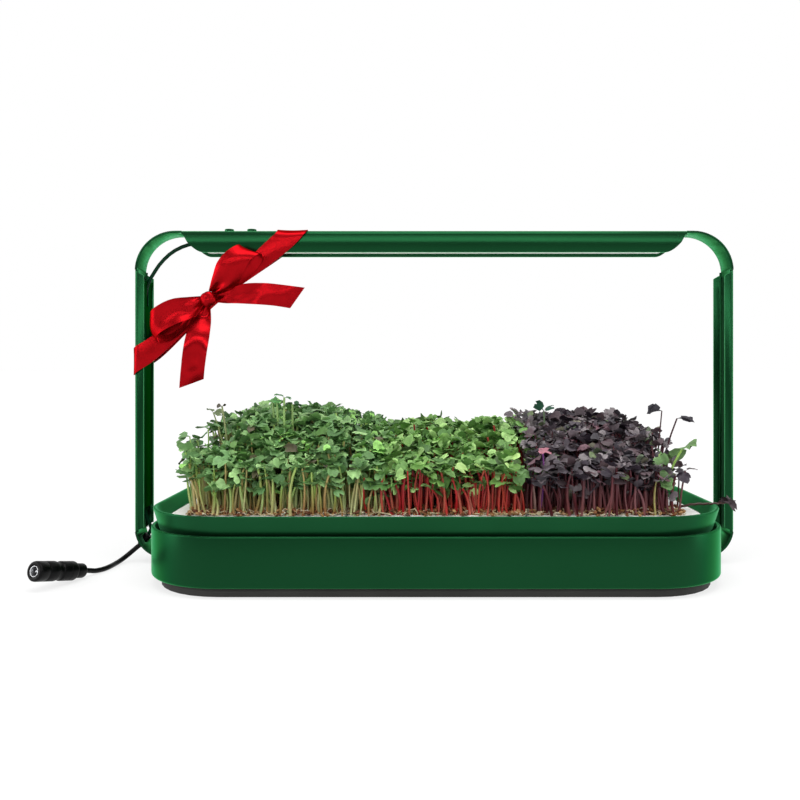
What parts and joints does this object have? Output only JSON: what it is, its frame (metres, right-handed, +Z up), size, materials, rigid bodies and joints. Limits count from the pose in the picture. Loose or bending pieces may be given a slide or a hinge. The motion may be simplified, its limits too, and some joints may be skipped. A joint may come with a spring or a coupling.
{
  "type": "microgreen growing kit",
  "caption": "Tabletop sprout garden: a bent sheet-metal loop with a lamp stands round a low water bowl that holds a tray of seed pads with growing greens, a gift ribbon on one corner.",
  "frame": {"origin": "on the table, below the middle of the loop and of the bowl", "axes": "+X along the loop to the right, +Y to the back, +Z up; the front faces -Y"},
  "size_m": [0.441, 0.19, 0.2259],
  "materials": {
    "painted_frame": "gloss",
    "bowl_gloss": "gloss",
    "tray_plastic": "semi-gloss",
    "foot_rubber": "matte",
    "cover_plastic": "satin",
    "black_plastic": "satin",
    "lead_jacket": "satin",
    "cord_jacket": "satin",
    "steel": "satin",
    "housing_metal": "satin",
    "board": "matte",
    "frosted": "matte",
    "pad_fibre": "fibrous",
    "sprouts_pale_stem": "leafy",
    "sprouts_red_stem": "leafy",
    "sprouts_dark": "leafy",
    "satin_ribbon": "satin"
  },
  "bodies": {
    "frame": {"frame_loop": "painted_frame", "frame_pad_left": "foot_rubber", "frame_pad_right": "foot_rubber", "lamp_housing": "housing_metal", "led_board": "board", "light_diffuser": "frosted", "lamp_end_cap_left": "black_plastic", "lamp_end_cap_right": "black_plastic", "lamp_screw_1": "steel", "lamp_screw_2": "steel", "lamp_screw_3": "steel", "lamp_screw_4": "steel", "switch_power": "black_plastic", "switch_timer": "black_plastic", "timer_module": "black_plastic", "lead_terminal": "board", "lamp_lead": "lead_jacket", "lead_cover": "cover_plastic", "strain_relief": "black_plastic", "power_lead": "cord_jacket", "jack_shell": "black_plastic", "jack_sleeve": "steel", "jack_insulator": "black_plastic", "jack_pin": "steel", "ribbon_band_front": "satin_ribbon", "ribbon_band_back": "satin_ribbon", "ribbon_loop_upper": "satin_ribbon", "ribbon_loop_left": "satin_ribbon", "ribbon_tail_right": "satin_ribbon", "ribbon_tail_down": "satin_ribbon", "ribbon_knot": "satin_ribbon"},
    "power_button": {"power_button": "painted_frame"},
    "timer_button": {"timer_button": "painted_frame"},
    "bowl": {"bowl": "bowl_gloss", "bowl_foot_front": "foot_rubber", "bowl_foot_back": "foot_rubber"},
    "tray": {"tray": "tray_plastic"},
    "crop_left": {"seed_pad_left": "pad_fibre", "sprouts_left": "sprouts_pale_stem"},
    "crop_middle": {"seed_pad_middle": "pad_fibre", "sprouts_middle": "sprouts_red_stem"},
    "crop_right": {"seed_pad_right": "pad_fibre", "sprouts_right": "sprouts_dark"}
  },
  "joints": [
    {"name": "bowl_lift", "type": "slide", "parent": "frame", "child": "bowl", "axis": [0, 0, 1], "range_m": [0, 0.008]},
    {"name": "tray_lift", "type": "slide", "parent": "bowl", "child": "tray", "axis": [0, 0, 1], "range_m": [0, 0.028]},
    {"name": "crop_left_lift", "type": "slide", "parent": "tray", "child": "crop_left", "axis": [0, 0, 1], "range_m": [0, 0.01]},
    {"name": "crop_middle_lift", "type": "slide", "parent": "tray", "child": "crop_middle", "axis": [0, 0, 1], "range_m": [0, 0.01]},
    {"name": "crop_right_lift", "type": "slide", "parent": "tray", "child": "crop_right", "axis": [0, 0, 1], "range_m": [0, 0.01]},
    {"name": "power_press", "type": "slide", "parent": "frame", "child": "power_button", "axis": [0, 0, -1], "range_m": [0, 0.0006], "stiffness_N_per_m": 1500, "springref_m": -0.0002},
    {"name": "timer_press", "type": "slide", "parent": "frame", "child": "timer_button", "axis": [0, 0, -1], "range_m": [0, 0.0006], "stiffness_N_per_m": 1500, "springref_m": -0.0002}
  ]
}
